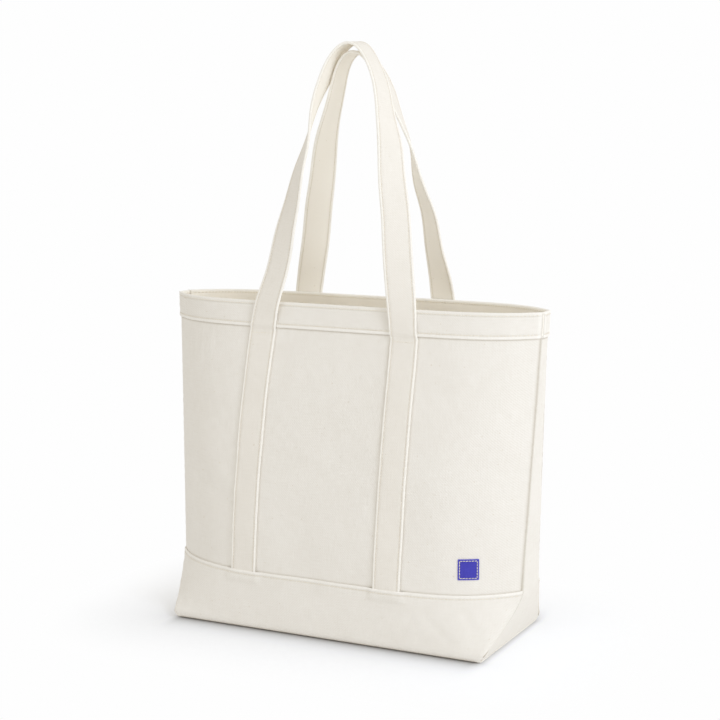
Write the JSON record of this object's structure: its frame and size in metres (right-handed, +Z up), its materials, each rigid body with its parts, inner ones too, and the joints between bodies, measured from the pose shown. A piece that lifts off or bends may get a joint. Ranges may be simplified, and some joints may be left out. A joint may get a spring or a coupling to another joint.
{
  "type": "canvas tote bag",
  "caption": "Flat-bottomed natural canvas tote with side gussets, a wrapped base band, a folded hem and two long sewn strap handles that cross at the top.",
  "frame": {"origin": "on the floor under the middle of the base", "axes": "+Z up from the base to the handles; +X along the width, to the right seen from the front; the front faces -Y"},
  "size_m": [0.4838, 0.1942, 0.6927],
  "materials": {
    "natural_canvas": "undyed heavy cotton canvas, matt",
    "binding_tape": "cotton twill tape, matt",
    "strap_canvas": "folded canvas strap, matt",
    "ecru_thread": "cotton topstitching thread",
    "blue_cloth": "dyed plain-weave cloth, matt"
  },
  "bodies": {
    "bag": {"front_panel": "natural_canvas", "back_panel": "natural_canvas", "left_gusset": "natural_canvas", "right_gusset": "natural_canvas", "base_panel": "natural_canvas", "base_band": "natural_canvas", "front_hem": "natural_canvas", "back_hem": "natural_canvas", "left_hem": "natural_canvas", "right_hem": "natural_canvas", "front_left_seam_binding": "binding_tape", "front_right_seam_binding": "binding_tape", "back_left_seam_binding": "binding_tape", "back_right_seam_binding": "binding_tape", "front_left_strap": "strap_canvas", "front_right_strap": "strap_canvas", "back_left_strap": "strap_canvas", "back_right_strap": "strap_canvas", "front_left_strap_stitching": "ecru_thread", "front_right_strap_stitching": "ecru_thread", "back_left_strap_stitching": "ecru_thread", "back_right_strap_stitching": "ecru_thread", "front_band_stitching": "ecru_thread", "back_band_stitching": "ecru_thread", "rim_upper_stitching": "ecru_thread", "rim_lower_stitching": "ecru_thread", "patch": "blue_cloth", "patch_stitching": "ecru_thread"},
    "front_handle": {"front_handle_loop": "strap_canvas", "front_handle_stitching": "ecru_thread"},
    "back_handle": {"back_handle_loop": "strap_canvas", "back_handle_stitching": "ecru_thread"}
  },
  "joints": [
    {"name": "front_handle_swing", "type": "hinge", "parent": "bag", "child": "front_handle", "pos_m": [0, -0.0671, 0.357], "axis": [1, 0, 0], "range_deg": [0, 170]},
    {"name": "back_handle_swing", "type": "hinge", "parent": "bag", "child": "back_handle", "pos_m": [0, 0.0671, 0.357], "axis": [-1, 0, 0], "range_deg": [0, 170]}
  ]
}
